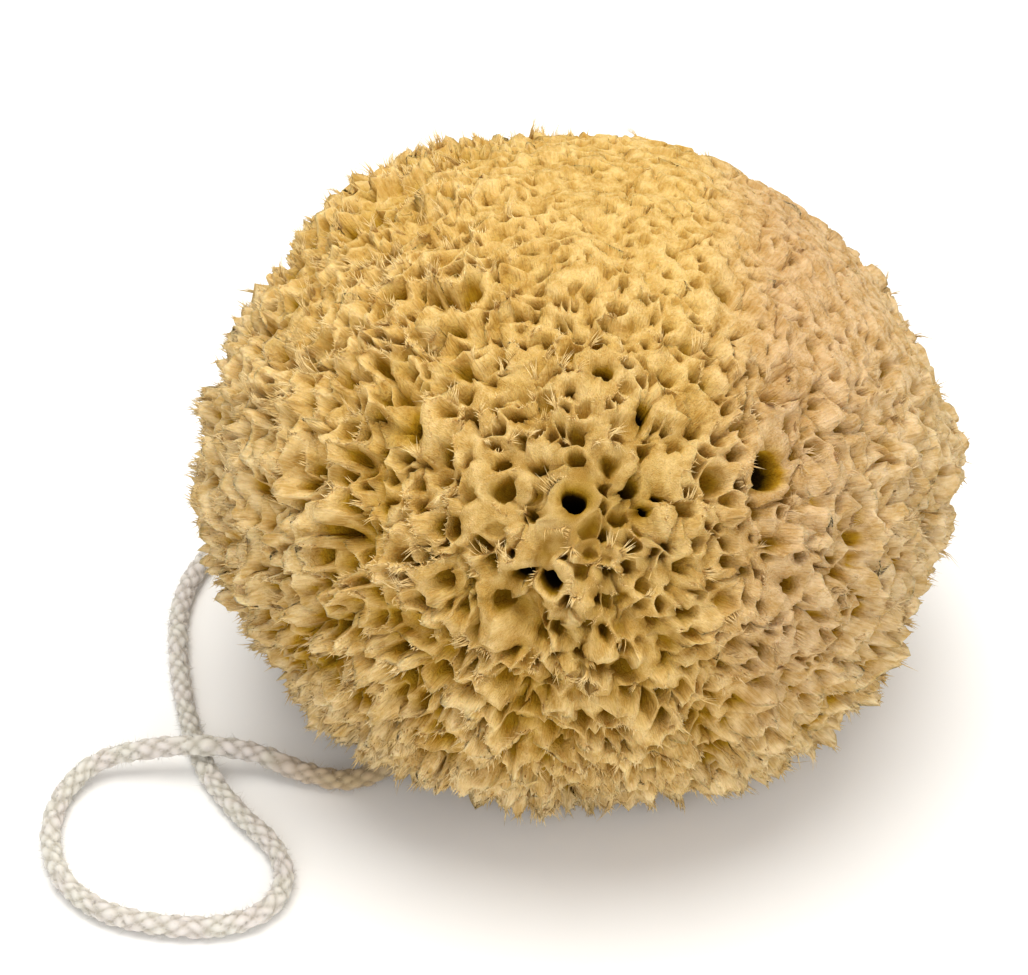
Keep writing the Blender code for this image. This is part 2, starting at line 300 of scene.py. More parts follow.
def makeCordFuzz(shape, centres, along, material):
    # Loose cotton fibre ends, thrown out sideways from the strands
    first, last = np.searchsorted(along, 12 * mm), np.searchsorted(along, along[-1] - 12 * mm)
    ring = cordChance.integers(first, last, shape["fuzzCount"])
    angle = cordChance.uniform(0.0, 2.0 * math.pi, shape["fuzzCount"])
    forward, side, upright = (axis[ring] for axis in tubeFrame(centres))
    out = np.cos(angle)[:, None] * side + np.sin(angle)[:, None] * upright
    lengths = cordChance.uniform(*shape["fuzzLength"], shape["fuzzCount"])
    sweep = cordChance.uniform(-1.4, 1.4, (shape["fuzzCount"], 1))
    axes = unit(out + sweep * forward)
    lean = cordChance.normal(0.0, 0.35, out.shape) * lengths[:, None]
    roots = centres[ring] + out * (shape["radius"] - 0.35 * mm)
    keep = (roots + axes * lengths[:, None] + lean)[:, 2] > 0.1 * mm
    widths = np.full(shape["fuzzCount"], shape["fuzzWidth"])
    widthways = unit(np.cross(axes, out + 0.3 * forward))
    chosen = (values[keep] for values in (roots, axes, widthways, lengths, widths, widths, lean))
    ones = np.ones(int(keep.sum()))
    return makeSpikes("cordFuzz", *chosen, material, {"rise": (ones, ones)})


def makeCotton(name):
    # Bleached cotton yarn, spun and braided: matt, warm white, with painted shade where strands go under, and stained
    # by the sponge near both ends
    material = bpy.data.materials.new(name)
    material.use_nodes = True
    tree = material.node_tree
    shader = tree.nodes["Principled BSDF"]
    place = addNode(tree, "ShaderNodeTexCoord").outputs["Object"]
    rise = addNode(tree, "ShaderNodeAttribute", {"attribute_name": "rise"}).outputs["Fac"]
    # Painted shade: the braid is darker where strands go under, lighter on top of each strand
    strand = addNode(tree, "ShaderNodeMix", {"data_type": "RGBA"}, {
        0: rise, 6: linearColour("#A8A296"), 7: linearColour("#DBD9D6")}).outputs[2]
    patches = addNode(tree, "ShaderNodeTexNoise", None, {"Vector": place, "Scale": 1.0 / (6 * mm), "Detail": 3.0})
    spread = addNode(tree, "ShaderNodeMapRange", {"interpolation_type": "SMOOTHSTEP"}, {
        "Value": patches.outputs["Fac"], "From Min": 0.36, "From Max": 0.64}).outputs["Result"]
    wash = addNode(tree, "ShaderNodeMix", {"data_type": "RGBA"}, {
        0: spread, 6: linearColour("#FAF8F0"), 7: linearColour("#FBF5F2")}).outputs[2]   # unbleached, and pinkish
    tinted = addNode(tree, "ShaderNodeMix", {"data_type": "RGBA", "blend_type": "MULTIPLY"}, {
        0: 1.0, 6: strand, 7: wash}).outputs[2]
    outward = addNode(tree, "ShaderNodeSeparateXYZ", None, {"Vector": place}).outputs["X"]
    stain = addNode(tree, "ShaderNodeMapRange", {"interpolation_type": "SMOOTHSTEP"}, {
        "Value": outward, "From Min": -62 * mm, "From Max": -40 * mm, "To Max": 0.75}).outputs["Result"]
    low = addNode(tree, "ShaderNodeSeparateXYZ", None, {"Vector": place}).outputs["Y"]
    notLoop = addNode(tree, "ShaderNodeMapRange", {"interpolation_type": "SMOOTHSTEP"}, {
        "Value": low, "From Min": -44 * mm, "From Max": -38 * mm}).outputs["Result"]
    amount = addNode(tree, "ShaderNodeMath", {"operation": "MULTIPLY"}, {0: stain, 1: notLoop}).outputs[0]
    colour = addNode(tree, "ShaderNodeMix", {"data_type": "RGBA", "blend_type": "MULTIPLY"}, {
        0: amount, 6: tinted, 7: linearColour("#D8B878")}).outputs[2]
    fibre = addNode(tree, "ShaderNodeTexNoise", None, {"Vector": place, "Scale": 1.0 / (0.25 * mm), "Detail": 4.0})
    bump = addNode(tree, "ShaderNodeBump", None, {
        "Height": fibre.outputs["Fac"], "Strength": 0.5, "Distance": 0.12 * mm})
    tree.links.new(colour, shader.inputs["Base Color"])
    tree.links.new(bump.outputs["Normal"], shader.inputs["Normal"])
    shader.inputs["Roughness"].default_value = 0.92
    shader.inputs["Specular IOR Level"].default_value = 0.25
    shader.inputs["Sheen Weight"].default_value = 0.25
    shader.inputs["Subsurface Weight"].default_value = 0.25
    shader.inputs["Subsurface Radius"].default_value = (1.0, 0.85, 0.65)
    shader.inputs["Subsurface Scale"].default_value = 0.8 * mm
    return material


cotton = makeCotton("bleached cotton yarn, spun and braided")
cord, cordCentres, cordAlong = makeCord(cordShape, cotton)
cordFuzz = makeCordFuzz(cordShape, cordCentres, cordAlong, cotton)
for piece in (cord, cordFuzz):
    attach(piece, "root")
    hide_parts("cord")
print("cord braided:", round(float(cordAlong[-1]) * 1000, 1), "mm,", len(cord.data.polygons), "faces")


# Sponge: points of its form

def directionsFromAngles(azimuth, elevation):
    azimuth, elevation = np.radians(azimuth), np.radians(elevation)
    return np.stack([np.cos(elevation) * np.cos(azimuth), np.cos(elevation) * np.sin(azimuth), np.sin(elevation)], -1)


def formRadii(directions):
    # Distance from the middle: an ellipsoid times one plus, for each lobe, rise * exp(-(angle / reach) ** 2)
    radii = 1.0 / np.linalg.norm(directions / formHalf, axis=-1)
    swelling = np.zeros(radii.shape)
    for azimuth, elevation, rise, reach in spongeForm["lobes"]:
        towards = directionsFromAngles(azimuth, elevation)
        angle = np.degrees(np.arccos(np.clip(directions @ towards, -1.0, 1.0)))
        swelling += rise * np.exp(-(angle / reach) ** 2)
    return radii * (1.0 + swelling)


def formPoints(directions):
    # Points of the form, drawn in towards the growth centre where they would be under the flat base
    points = formMiddle + directions * formRadii(directions)[..., None]
    depth = np.minimum(points[..., 2], 0.0)
    share = growthCentre[2] / (growthCentre[2] - depth)
    return growthCentre + (points - growthCentre) * share[..., None], -depth


def seenDirections(right, up):
    # Directions from the middle to the form's points seen right and up of the middle: sight line meets ellipsoid
    back = unit(eyePoint - formMiddle)
    upward = np.cross(back, np.array([1.0, 0.0, 0.0]))
    target = right[:, None] * np.array([1.0, 0.0, 0.0]) + up[:, None] * upward
    start = (eyePoint - formMiddle) / formHalf
    ray = unit(target - (eyePoint - formMiddle)) / formHalf
    a = np.sum(ray * ray, -1)
    b = np.sum(ray * start, -1)
    reach = (-b - np.sqrt(b * b - a * (start @ start - 1.0))) / a
    return unit((start + ray * reach[:, None]) * formHalf)


# Sponge: its pores

poreField = {
    "count": 3700,
    "baseShare": 0.34,            # of the pores under the cut base are kept
    "scatter": 0.52,              # of the even spacing
    "seed": 11,
    "frontOscula": (              # right of the middle, up from it, width, depth: millimetres, as the camera sees
        (-1.0, -7.8, 4.0, 22), (-10.0, -21.2, 3.8, 20), (-4.6, -22.4, 4.0, 20), (35.0, 0.0, 6.6, 24),
        (9.8, -4.0, 3.4, 10), (4.0, 16.4, 3.4, 16), (11.6, 9.3, 3.2, 12), (-14.0, -5.1, 4.2, 5.5),
        (-30.5, 5.1, 4.2, 18), (-24.5, 0.4, 4.0, 7), (-13.5, -27.0, 4.2, 6), (-46.0, -13.3, 4.4, 9),
        (-54.0, 16.4, 4.0, 8), (14.9, -6.4, 1.8, 14), (12.4, -8.6, 1.8, 14), (26.0, 32.2, 4.0, 7),
        (21.0, 5.8, 3.4, 6), (-0.8, 1.3, 3.4, 5), (5.4, -0.2, 4.0, 5), (-24.8, -22.6, 3.8, 6),
    ),
    "otherOscula": (              # azimuth, elevation, width and depth in millimetres
        (18, 36, 3.2, 12), (52, 12, 3.0, 12), (84, 44, 3.8, 18), (98, 20, 3.4, 18), (121, 54, 3.2, 10),
        (146, 8, 3.2, 12), (-12, 30, 3.2, 7), (-28, -4, 3.0, 7), (62, 30, 3.6, 16), (104, 36, 3.0, 12),
    ),
    "shagAtSides": 0.66,
    "shagLoss": (0.18, 0.0, 0.70),  # towards +X, +Y and +Z
    "calmTowards": (0.38, 0.18, 0.90),   # the middle of the smoothest part
    "calmReach": (0.62, 0.90),           # cosines of the angles from it where calm begins and is whole
}
chance = np.random.default_rng(poreField["seed"])


def shagginess(directions):
    # 1 where the surface is all tufts, 0 where it is smooth felt, with slow patches
    patches = latticeNoise(directions, 0.45, 3)[..., 0]
    return np.clip(poreField["shagAtSides"] - directions @ np.array(poreField["shagLoss"]) + 0.22 * patches, 0.0, 1.0)


def calmness(directions):
    # 1 at the top and upper right, where the felt is nearly flat and its holes are small
    low, high = poreField["calmReach"]
    share = np.clip((directions @ unit(np.array(poreField["calmTowards"])) - low) / (high - low), 0.0, 1.0)
    return share * share * (3.0 - 2.0 * share)


def placePores(field):
    # Golden-angle spiral directions, scattered; those near an osculum give way to it
    index = np.arange(field["count"])
    height = 1.0 - 2.0 * (index + 0.5) / field["count"]
    turn = index * math.pi * (3.0 - math.sqrt(5.0))
    level = np.sqrt(1.0 - height ** 2)
    even = np.stack([level * np.cos(turn), level * np.sin(turn), height], -1)
    spacing = math.sqrt(4.0 * math.pi / field["count"])
    pores = unit(even + chance.uniform(-1.0, 1.0, even.shape) * field["scatter"] * spacing)
    inside = formPoints(pores)[1] > 4 * mm
    pores = pores[~inside | (chance.random(len(pores)) < field["baseShare"])]
    front = np.array(field["frontOscula"])
    other = np.array(field["otherOscula"])
    oscula = np.concatenate([
        seenDirections(front[:, 0] * mm, front[:, 1] * mm),
        directionsFromAngles(other[:, 0], other[:, 1]),
    ])
    widths = np.concatenate([front[:, 2], other[:, 2]]) * mm / formRadii(oscula)
    room = np.arccos(np.clip(pores @ oscula.T, -1.0, 1.0)) - widths[None, :] * 0.5
    pores = pores[np.all(room > 0.52 * spacing, axis=1)]
    return np.concatenate([oscula, pores]), widths, np.concatenate([front[:, 3], other[:, 3]]) * mm


def hullTriangles(directions):
    # Blender's convex hull of points on a sphere joins each to its neighbours
    points = bpy.data.meshes.new("poreHull")
    points.vertices.add(len(directions))
    points.vertices.foreach_set("co", (1000.0 * directions).astype(np.float32).ravel())
    hull = bmesh.new()
    hull.from_mesh(points)
    bmesh.ops.convex_hull(hull, input=hull.verts[:])
    bmesh.ops.triangulate(hull, faces=hull.faces[:])
    hull.to_mesh(points)
    hull.free()
    corners = np.zeros(len(points.loops), dtype=np.int32)
    points.loops.foreach_get("vertex_index", corners)
    bpy.data.meshes.remove(points)
    triangles = corners.reshape(-1, 3)
    a, b, c = (directions[triangles[:, place]] for place in range(3))
    inward = np.sum(np.cross(b - a, c - a) * a, -1) < 0
    triangles[inward] = triangles[inward][:, ::-1]
    return triangles


pores, osculumWidths, osculumDepths = placePores(poreField)
poreTriangles = hullTriangles(pores)
poreCount = len(pores)
osculumCount = len(osculumWidths)
print("pores placed:", poreCount, "with", osculumCount, "oscula")


# Sponge: crests between the pores
# A half-edge runs from one pore to a neighbour with its triangle on the left; its wedge is the part of the
# first pore's cup that faces the neighbour, between the junctions on the two sides

crestShape = {
    "alongCrest": 3,                       # steps from junction to junction
    "fanSpacing": 7.5 * mm,                # between the high crests, which stand like fans
    "gougeSize": 7.0 * mm,                 # low dark patches where several pores run together
    "gougeDepth": (1.2 * mm, 4.0 * mm),
    "gougeLoss": 0.4,                      # towards +X
    "fanHeight": (0.9 * mm, 3.1 * mm),     # smooth side, shaggy side
    "fanFloor": (-0.7 * mm, -2.6 * mm),
    "tipHeight": (0.5 * mm, 1.7 * mm),     # the most a common tip stands up
    "longTipHeight": (0.4 * mm, 1.3 * mm),
    "longTipChance": (0.05, 0.18),
    "sag": (0.15 * mm, 1.9 * mm),
    "openShare": (0.15, 0.24),             # of the crests, which sink so that two pores run together
    "openSag": (1.3 * mm, 3.0 * mm),
    "pitDepth": (2.7 * mm, 5.4 * mm),
    "pitLoss": 0.35,                       # towards +X
    "shallowShare": (0.26, 0.12),
    "lipShare": ((0.34, 0.76), (0.28, 0.62)),   # of the pore's reach: smooth side, shaggy side
    "lipWander": 0.42,
    "bow": 0.15,                           # of the way between two pores
    "ravineSize": 13.0 * mm,               # between the winding ravines that part the lobes
    "ravineWidth": 0.15,                   # in the noise's own measure
    "ravineDepth": (0.5 * mm, 4.8 * mm),
    "ravineLoss": 0.9,                     # towards +X
    "markLevel": (0.65, 0.15),             # of its crest's height is taken off a point's height in its painted shade
    "paintedShadeGain": 0.5,                       # a shaggy pore's painted shade darkens this much sooner
    "osculumPaintedShadeGain": 1.3,                    # and a deep osculum's this much
    "paintedRimHighlight": 1.7 * mm,                   # painted highlight: the thin rim of a crest is as pale as if it stood this much higher
}

pitOf = poreTriangles.ravel()
neighbourOf = np.roll(poreTriangles, -1, axis=1).ravel()
triangleOf = np.repeat(np.arange(len(poreTriangles)), 3)
forwardKey = pitOf.astype(np.int64) * poreCount + neighbourOf
backwardKey = neighbourOf.astype(np.int64) * poreCount + pitOf
keyOrder = np.argsort(forwardKey)
twinOf = keyOrder[np.searchsorted(forwardKey[keyOrder], backwardKey)]
crestOf = np.minimum(np.arange(len(pitOf)), twinOf)

poreWeight = chance.uniform(0.5, 2.1, poreCount)      # a heavy pore draws its junctions in and is small
poreWeight[:osculumCount] = 0.58
cornerWeight = poreWeight[poreTriangles][..., None]
junctions = unit(np.sum(pores[poreTriangles] * cornerWeight, axis=1) / np.sum(cornerWeight, axis=1))


def junctionHeights(shape):
    # High where slow noise crosses zero, which makes winding fans, low between them, plus short and long tips
    shag = shagginess(junctions)
    form, under = formPoints(junctions)
    slow = latticeNoise(form, shape["fanSpacing"], 21)[:, 0] + 0.5 * latticeNoise(form, 0.5 * shape["fanSpacing"], 22)[:, 0]
    ridge = np.clip(1.0 - np.abs(slow) / 0.5, 0.0, 1.0) ** 0.8
    floor, top = between(shape["fanFloor"], shag), between(shape["fanHeight"], shag)
    heights = floor + (top - floor) * ridge
    tips = chance.random(len(junctions)) * between(shape["tipHeight"], shag)
    longTips = chance.uniform(*shape["longTipHeight"], len(junctions)) * (0.5 + 0.5 * shag)
    isLong = chance.random(len(junctions)) < between(shape["longTipChance"], shag)
    heights = np.minimum(heights + np.where(isLong, longTips, tips), between((2.0 * mm, 4.4 * mm), shag))
    gouge = np.clip((latticeNoise(form, shape["gougeSize"], 23)[:, 0] - 0.34) / 0.22, 0.0, 1.0)
    heights = heights - gouge * between(shape["gougeDepth"], shag) * (1.0 - shape["gougeLoss"] * junctions[:, 0])
    winding = latticeNoise(form, shape["ravineSize"], 24)
    ravine = np.clip(1.0 - np.abs(winding[:, 0]) / shape["ravineWidth"], 0.0, 1.0)
    ravine = ravine * np.clip((winding[:, 1] + 0.15) / 0.3, 0.0, 1.0)
    ravine = ravine * np.clip(0.5 - shape["ravineLoss"] * junctions[:, 0], 0.0, 1.0)
    heights = heights - ravine * between(shape["ravineDepth"], shag)
    heights = heights * (1.0 - 0.45 * calmness(junctions))
    return np.where(under > 0.0, 0.0, heights)


def pitDepths(shape):
    shag = shagginess(pores)
    depths = chance.uniform(*shape["pitDepth"], poreCount) * (0.85 + 0.75 * shag)
    depths = depths * (1.0 - shape["pitLoss"] * pores[:, 0])
    shallow = chance.random(poreCount) < between(shape["shallowShare"], shag) + 0.35 * calmness(pores)
    depths = np.where(shallow, depths * 0.36, depths)
    depths[:osculumCount] = osculumDepths
    return depths


def crestSags(shape):
    # How far each crest sinks in its middle: a little on most, deep on the open ones
    shag = shagginess(unit(junctions[triangleOf] + junctions[triangleOf[twinOf]]))
    sags = between(shape["sag"], shag) * chance.uniform(0.0, 1.0, len(pitOf)) ** 1.5
    isOpen = chance.random(len(pitOf)) < between(shape["openShare"], shag)
    openSags = between(shape["openSag"], shag) * chance.uniform(0.7, 1.2, len(pitOf))
    return np.where(isOpen, openSags, sags)[crestOf]


def crestBows(shape):
    # How far each crest's middle is pushed from one of its two pores towards the other
    shares = chance.uniform(-shape["bow"], shape["bow"], len(pitOf))[crestOf]
    return (pores[neighbourOf[crestOf]] - pores[pitOf[crestOf]]) * shares[:, None]


junctionHeight = junctionHeights(crestShape)
pitDepth = pitDepths(crestShape)
crestSag = crestSags(crestShape)
crestBow = crestBows(crestShape)


def clearOfCord(points):
    # The felt gives way to the cord: points nearer its centre line than the room are pushed out to the room
    room = cordShape["radius"] + 0.5 * mm
    inside = cordCentres[::5]
    near = np.nonzero(np.linalg.norm((points - formMiddle)[:, :2], axis=1) > 15 * mm)[0]
    near = near[points[near, 2] < 22 * mm]
    near = near[points[near, 0] < -8 * mm]
    for part in np.array_split(near, 40):
        away = points[part][:, None] - inside[None]
        distance = np.linalg.norm(away, axis=-1)
        closest = np.argmin(distance, axis=1)
        rows = np.arange(len(part))
        nearest = distance[rows, closest]
        push = np.maximum(room - nearest, 0.0) / np.maximum(nearest, 0.05 * mm)
        points[part] += away[rows, closest] * push[:, None]
    return points


def spongeSurface(directions, heights):
    # Form point plus height along the ray from the canals' centre, warped by three sizes of noise,
    # with flutes that run along the rays, and never under the base
    form, under = formPoints(directions)
    rays = unit(form - canalCentre)
    rough = 1.0 - 0.65 * calmness(directions)[..., None]
    points = form + rays * heights[..., None]
    points = points + 0.9 * mm * latticeNoise(points, 8.0 * mm, 31)
    points = points + 0.55 * mm * rough * latticeNoise(points, 3.0 * mm, 32)
    points = points + 0.25 * mm * rough * latticeNoise(points, 1.4 * mm, 33)
    points = points + 0.24 * mm * rough * latticeNoise(form, 1.2 * mm, 34)
    points = points + 0.30 * mm * rough * latticeNoise(form, 2.3 * mm, 36)
    flat = (under > 0.0) & (heights > -0.3 * mm)
    level = np.where(flat, 0.0, np.maximum(points[..., 2], 0.0))
    points = np.concatenate([points[..., :2], level[..., None]], -1)
    return clearOfCord(points.reshape(-1, 3)).reshape(points.shape), rays


def crestLine(halfEdges, share):
    # Directions and heights along a crest, from its right-hand junction to its left-hand one, with a sag
    start, end = triangleOf[twinOf[halfEdges]], triangleOf[halfEdges]
    directions = junctions[start][:, None] * (1.0 - share[..., None]) + junctions[end][:, None] * share[..., None]
    directions = directions + crestBow[halfEdges][:, None] * (4.0 * share * (1.0 - share))[..., None]
    heights = junctionHeight[start][:, None] * (1.0 - share) + junctionHeight[end][:, None] * share
    sag = crestSag[halfEdges][:, None] * 4.0 * share * (1.0 - share)
    under = formPoints(unit(directions))[1]
    return directions, np.where(under > 0.0, 0.0, heights - sag)


def makeBody(shape, material):
    # Each wedge is a grid, steps along the crest by rows down the pore's wall; at share s of the way from the
    # pit out to the crest, height = crest height * (1 - fall(s)) - pit depth * fall(s)
    halfEdges = np.arange(len(pitOf))
    crest, crestHeight = crestLine(halfEdges, np.linspace(0.0, 1.0, shape["alongCrest"] + 1)[None, :])
    pit = pores[pitOf][:, None]
    outward = crest - pit
    reach = np.linalg.norm(outward, axis=-1)
    meanReach = np.bincount(pitOf, reach[:, 0], poreCount) / np.maximum(np.bincount(pitOf, minlength=poreCount), 1)
    shag = shagginess(pores)
    smoothLip, shaggyLip = (chance.uniform(*lips, poreCount) for lips in shape["lipShare"])
    lip = meanReach * (smoothLip + (shaggyLip - smoothLip) * shag) * (1.0 - 0.32 * calmness(pores))
    lip[:osculumCount] = osculumWidths * 0.5
    wandering = np.where(pitOf < osculumCount, 0.35, 1.0)[:, None] * shape["lipWander"]    # oscula are rounder
    wander = 1.0 + wandering * latticeNoise(formPoints(unit(crest))[0], 2.6 * mm, 35)[..., 0]
    lipReach = np.clip(lip[pitOf][:, None] * wander / reach, 0.12, 0.88)[..., None]
    rows = np.concatenate([1.0 - np.array([0.0, 0.55, 1.0]) * (1.0 - lipReach),
                           np.array([0.86, 0.52, 0.0]) * lipReach], -1)
    smoothFall = np.array([0.0, 0.01, 0.09, 0.58, 0.90, 1.0])
    shaggyFall = np.array([0.0, 0.13, 0.34, 0.68, 0.92, 1.0])
    osculumFall = np.array([0.0, 0.004, 0.04, 0.52, 0.86, 1.0])
    fall = smoothFall + (shaggyFall - smoothFall) * shag[pitOf][:, None, None]
    fall = np.where((pitOf < osculumCount)[:, None, None], osculumFall, fall)
    meanCrest = np.bincount(pitOf, np.mean(crestHeight, axis=1), poreCount)
    meanCrest = meanCrest / np.maximum(np.bincount(pitOf, minlength=poreCount), 1)
    floor = np.minimum(0.5 * meanCrest, 0.0) - pitDepth
    heights = crestHeight[..., None] * (1.0 - fall) + floor[pitOf][:, None, None] * fall
    crestShag = shagginess(unit(crest))
    # The depth mark drives painted shade and light: points low in a pore are painted darker, as shade, and the crest's
    # rim paler, as a highlight
    marks = heights - (between(shape["markLevel"], crestShag) * crestHeight)[..., None]
    gain = 1.0 + shape["paintedShadeGain"] * shag[pitOf]
    gain = gain + np.where((pitOf < osculumCount) & (pitDepth[pitOf] > 11 * mm), shape["osculumPaintedShadeGain"], 0.0)
    marks = np.where(marks < 0.0, marks * gain[:, None, None], marks)
    marks[..., 0] += shape["paintedRimHighlight"] * (0.3 + 0.7 * crestShag)
    directions = unit(pit[:, :, None] + outward[:, :, None] * rows[..., None])
    points = spongeSurface(directions, heights)[0]
    corner = np.arange(heights.size).reshape(heights.shape)
    quads = np.stack([corner[:, :-1, :-2], corner[:, 1:, :-2], corner[:, 1:, 1:-1], corner[:, :-1, 1:-1]], -1)
    triangles = np.stack([corner[:, :-1, -2], corner[:, 1:, -2], corner[:, :-1, -1]], -1)
    azimuth = np.degrees(np.arctan2(pores[:, 1], pores[:, 0]))[pitOf]
    quarter = np.floor(((azimuth + 45.0) % 360.0) / 90.0).astype(int)
    pieces = []
    for number, name in enumerate(("spongeRight", "spongeBack", "spongeLeft", "spongeFront")):
        chosen = quarter == number
        merged = mergedGrid(points.reshape(-1, 3), quads[chosen].reshape(-1, 4), triangles[chosen].reshape(-1, 3),
                            marks.ravel())
        pieces.append(makeMesh(name, *merged[:3], material, {"depth": merged[3]}))
    return pieces


# Sponge: frayed edges of the crests

frayShape = {
    "toothCount": 12,                         # along one crest
    "toothLength": (1.05 * mm, 1.0 * mm),     # smooth side, shaggy side
    "toothWidth": (0.12 * mm, 0.28 * mm),
    "toothThickness": 0.12 * mm,
    "clumpFloor": (0.48, -0.22),              # teeth grow where the clump noise is over this
    "frayLoss": 0.7,                          # towards +X
    "lowest": -1.3 * mm,                      # crests sunk below this are bare
    "sunk": 0.35 * mm,
    "gather": 0.7,                            # neighbours lean to one another by this share of their spacing
    "hairCount": 1,
    "hairLength": (0.4 * mm, 0.9 * mm),
    "hairWidth": 0.05 * mm,
    "tuftShare": (0.19, 0.07),                # of the crests bear a tuft
    "tuftCount": 10,
    "tuftSpread": 0.55,                       # of the crest's length
    "tuftLength": (1.4 * mm, 3.6 * mm),
    "tuftWidth": (0.08 * mm, 0.17 * mm),
    "tuftLean": (0.5, 1.2),
    "baseRoom": 1.6 * mm,                     # no fray on the cut base
}


def frayRoots(halfEdges, count, spread=1.0):
    # Places along the crests, with the ray outward and the crest's own direction at each
    share = (np.arange(count)[None, :] + 0.5 + chance.uniform(-0.35, 0.35, (len(halfEdges), count))) / count
    share = 0.5 + (share - 0.5) * spread
    directions, heights = crestLine(halfEdges, share)
    roots, rays = spongeSurface(unit(directions), heights)
    ahead, aheadHeights = crestLine(halfEdges, np.minimum(share + 0.06, 1.0))
    along = spongeSurface(unit(ahead), aheadHeights)[0] - roots
    along = along - np.sum(along * rays, -1, keepdims=True) * rays
    return share, unit(directions), heights, roots, rays, unit(along + 1e-9)


def frayed(shape, directions):
    # Share of the fibre ends that are left: fewer towards +X, none where it is calm
    left = 1.0 - shape["frayLoss"] * np.clip(directions[..., 0], 0.0, 1.0)
    return left * np.clip(1.0 - 1.3 * calmness(directions), 0.0, 1.0)


def makeTeeth(shape, names, material):
    halfEdges = np.nonzero(crestOf == np.arange(len(pitOf)))[0]
    share, directions, heights, roots, rays, along = frayRoots(halfEdges, shape["toothCount"])
    shag = shagginess(directions)
    clump = latticeNoise(roots, 3.4 * mm, 51)[..., 0] + 0.5 * latticeNoise(roots, 1.1 * mm, 52)[..., 0]
    clump = clump + heights / (9.0 * mm) - between(shape["clumpFloor"], shag)
    lengths = between(shape["toothLength"], shag) * np.clip(0.45 + 0.9 * clump, 0.0, 1.35)
    lengths = lengths * chance.uniform(0.4, 1.25, lengths.shape)
    spacing = np.linalg.norm(np.roll(roots, -1, axis=1) - roots, axis=-1)[:, :1]
    place = np.arange(shape["toothCount"]) % 4 - 1.5
    lean = -along * (place[None, :] * spacing * shape["gather"])[..., None]
    lean = lean + chance.normal(0.0, 0.5, roots.shape) * lengths[..., None]
    lean = lean + 0.8 * latticeNoise(roots, 4.0 * mm, 53) * lengths[..., None]
    widths = chance.uniform(*shape["toothWidth"], lengths.shape)
    tips = roots + rays * lengths[..., None] + lean
    keep = (clump > 0.0) & (heights > shape["lowest"]) & (chance.random(heights.shape) < frayed(shape, directions))
    keep = (keep & (roots[..., 2] > shape["baseRoom"]) & (tips[..., 2] > 0.2 * mm)).ravel()
    # Each tooth is painted along its length by the depth ramp, darker at the root as painted shade and pale at the
    # point as painted light
    heights = heights * (1.0 - between(crestShape["markLevel"], shag))
    flat = [values.reshape(-1, 3)[keep] for values in (roots - rays * shape["sunk"], rays, along, lean)]
    lengths, widths, heights = (values.ravel()[keep] for values in (lengths + shape["sunk"], widths, heights))
    thickness = np.full(len(lengths), shape["toothThickness"])
    pieces = []
    for part, name in zip(np.array_split(np.arange(len(lengths)), len(names)), names):
        pieces.append(makeSpikes(name, flat[0][part], flat[1][part], flat[2][part], lengths[part], widths[part],
                                 thickness[part], flat[3][part], material,
                                 {"depth": (heights[part], heights[part] + lengths[part] + 3 * mm)}, bent=False))
    return pieces


def makeHairs(shape, name, material):
    halfEdges = np.nonzero(crestOf == np.arange(len(pitOf)))[0]
    share, directions, heights, roots, rays, along = frayRoots(halfEdges, shape["hairCount"])
    shag = shagginess(directions)
    wanted = chance.random(heights.shape) < (0.12 + 0.5 * shag) * frayed(shape, directions)
    # Each hair is painted along its length by the depth ramp, darker at the root as painted shade and pale at the point
    # as painted light
    heights = heights * (1.0 - between(crestShape["markLevel"], shag))
    lengths = chance.uniform(*shape["hairLength"], heights.shape) * (0.45 + 0.55 * shag)
    lean = (chance.normal(0.0, 0.6, roots.shape) + 0.5 * latticeNoise(roots, 4.0 * mm, 54)) * lengths[..., None]
    tips = roots + rays * lengths[..., None] + lean
    keep = (wanted & (roots[..., 2] > shape["baseRoom"]) & (tips[..., 2] > 0.2 * mm)).ravel()
    flat = [values.reshape(-1, 3)[keep] for values in (roots - rays * shape["sunk"], rays, along, lean)]
    lengths, heights = (values.ravel()[keep] for values in (lengths + shape["sunk"], heights))
    widths = np.full(len(lengths), shape["hairWidth"])
    return makeSpikes(name, flat[0], flat[1], flat[2], lengths, widths, widths, flat[3], material,
                      {"depth": (heights, heights + lengths + 3 * mm)})


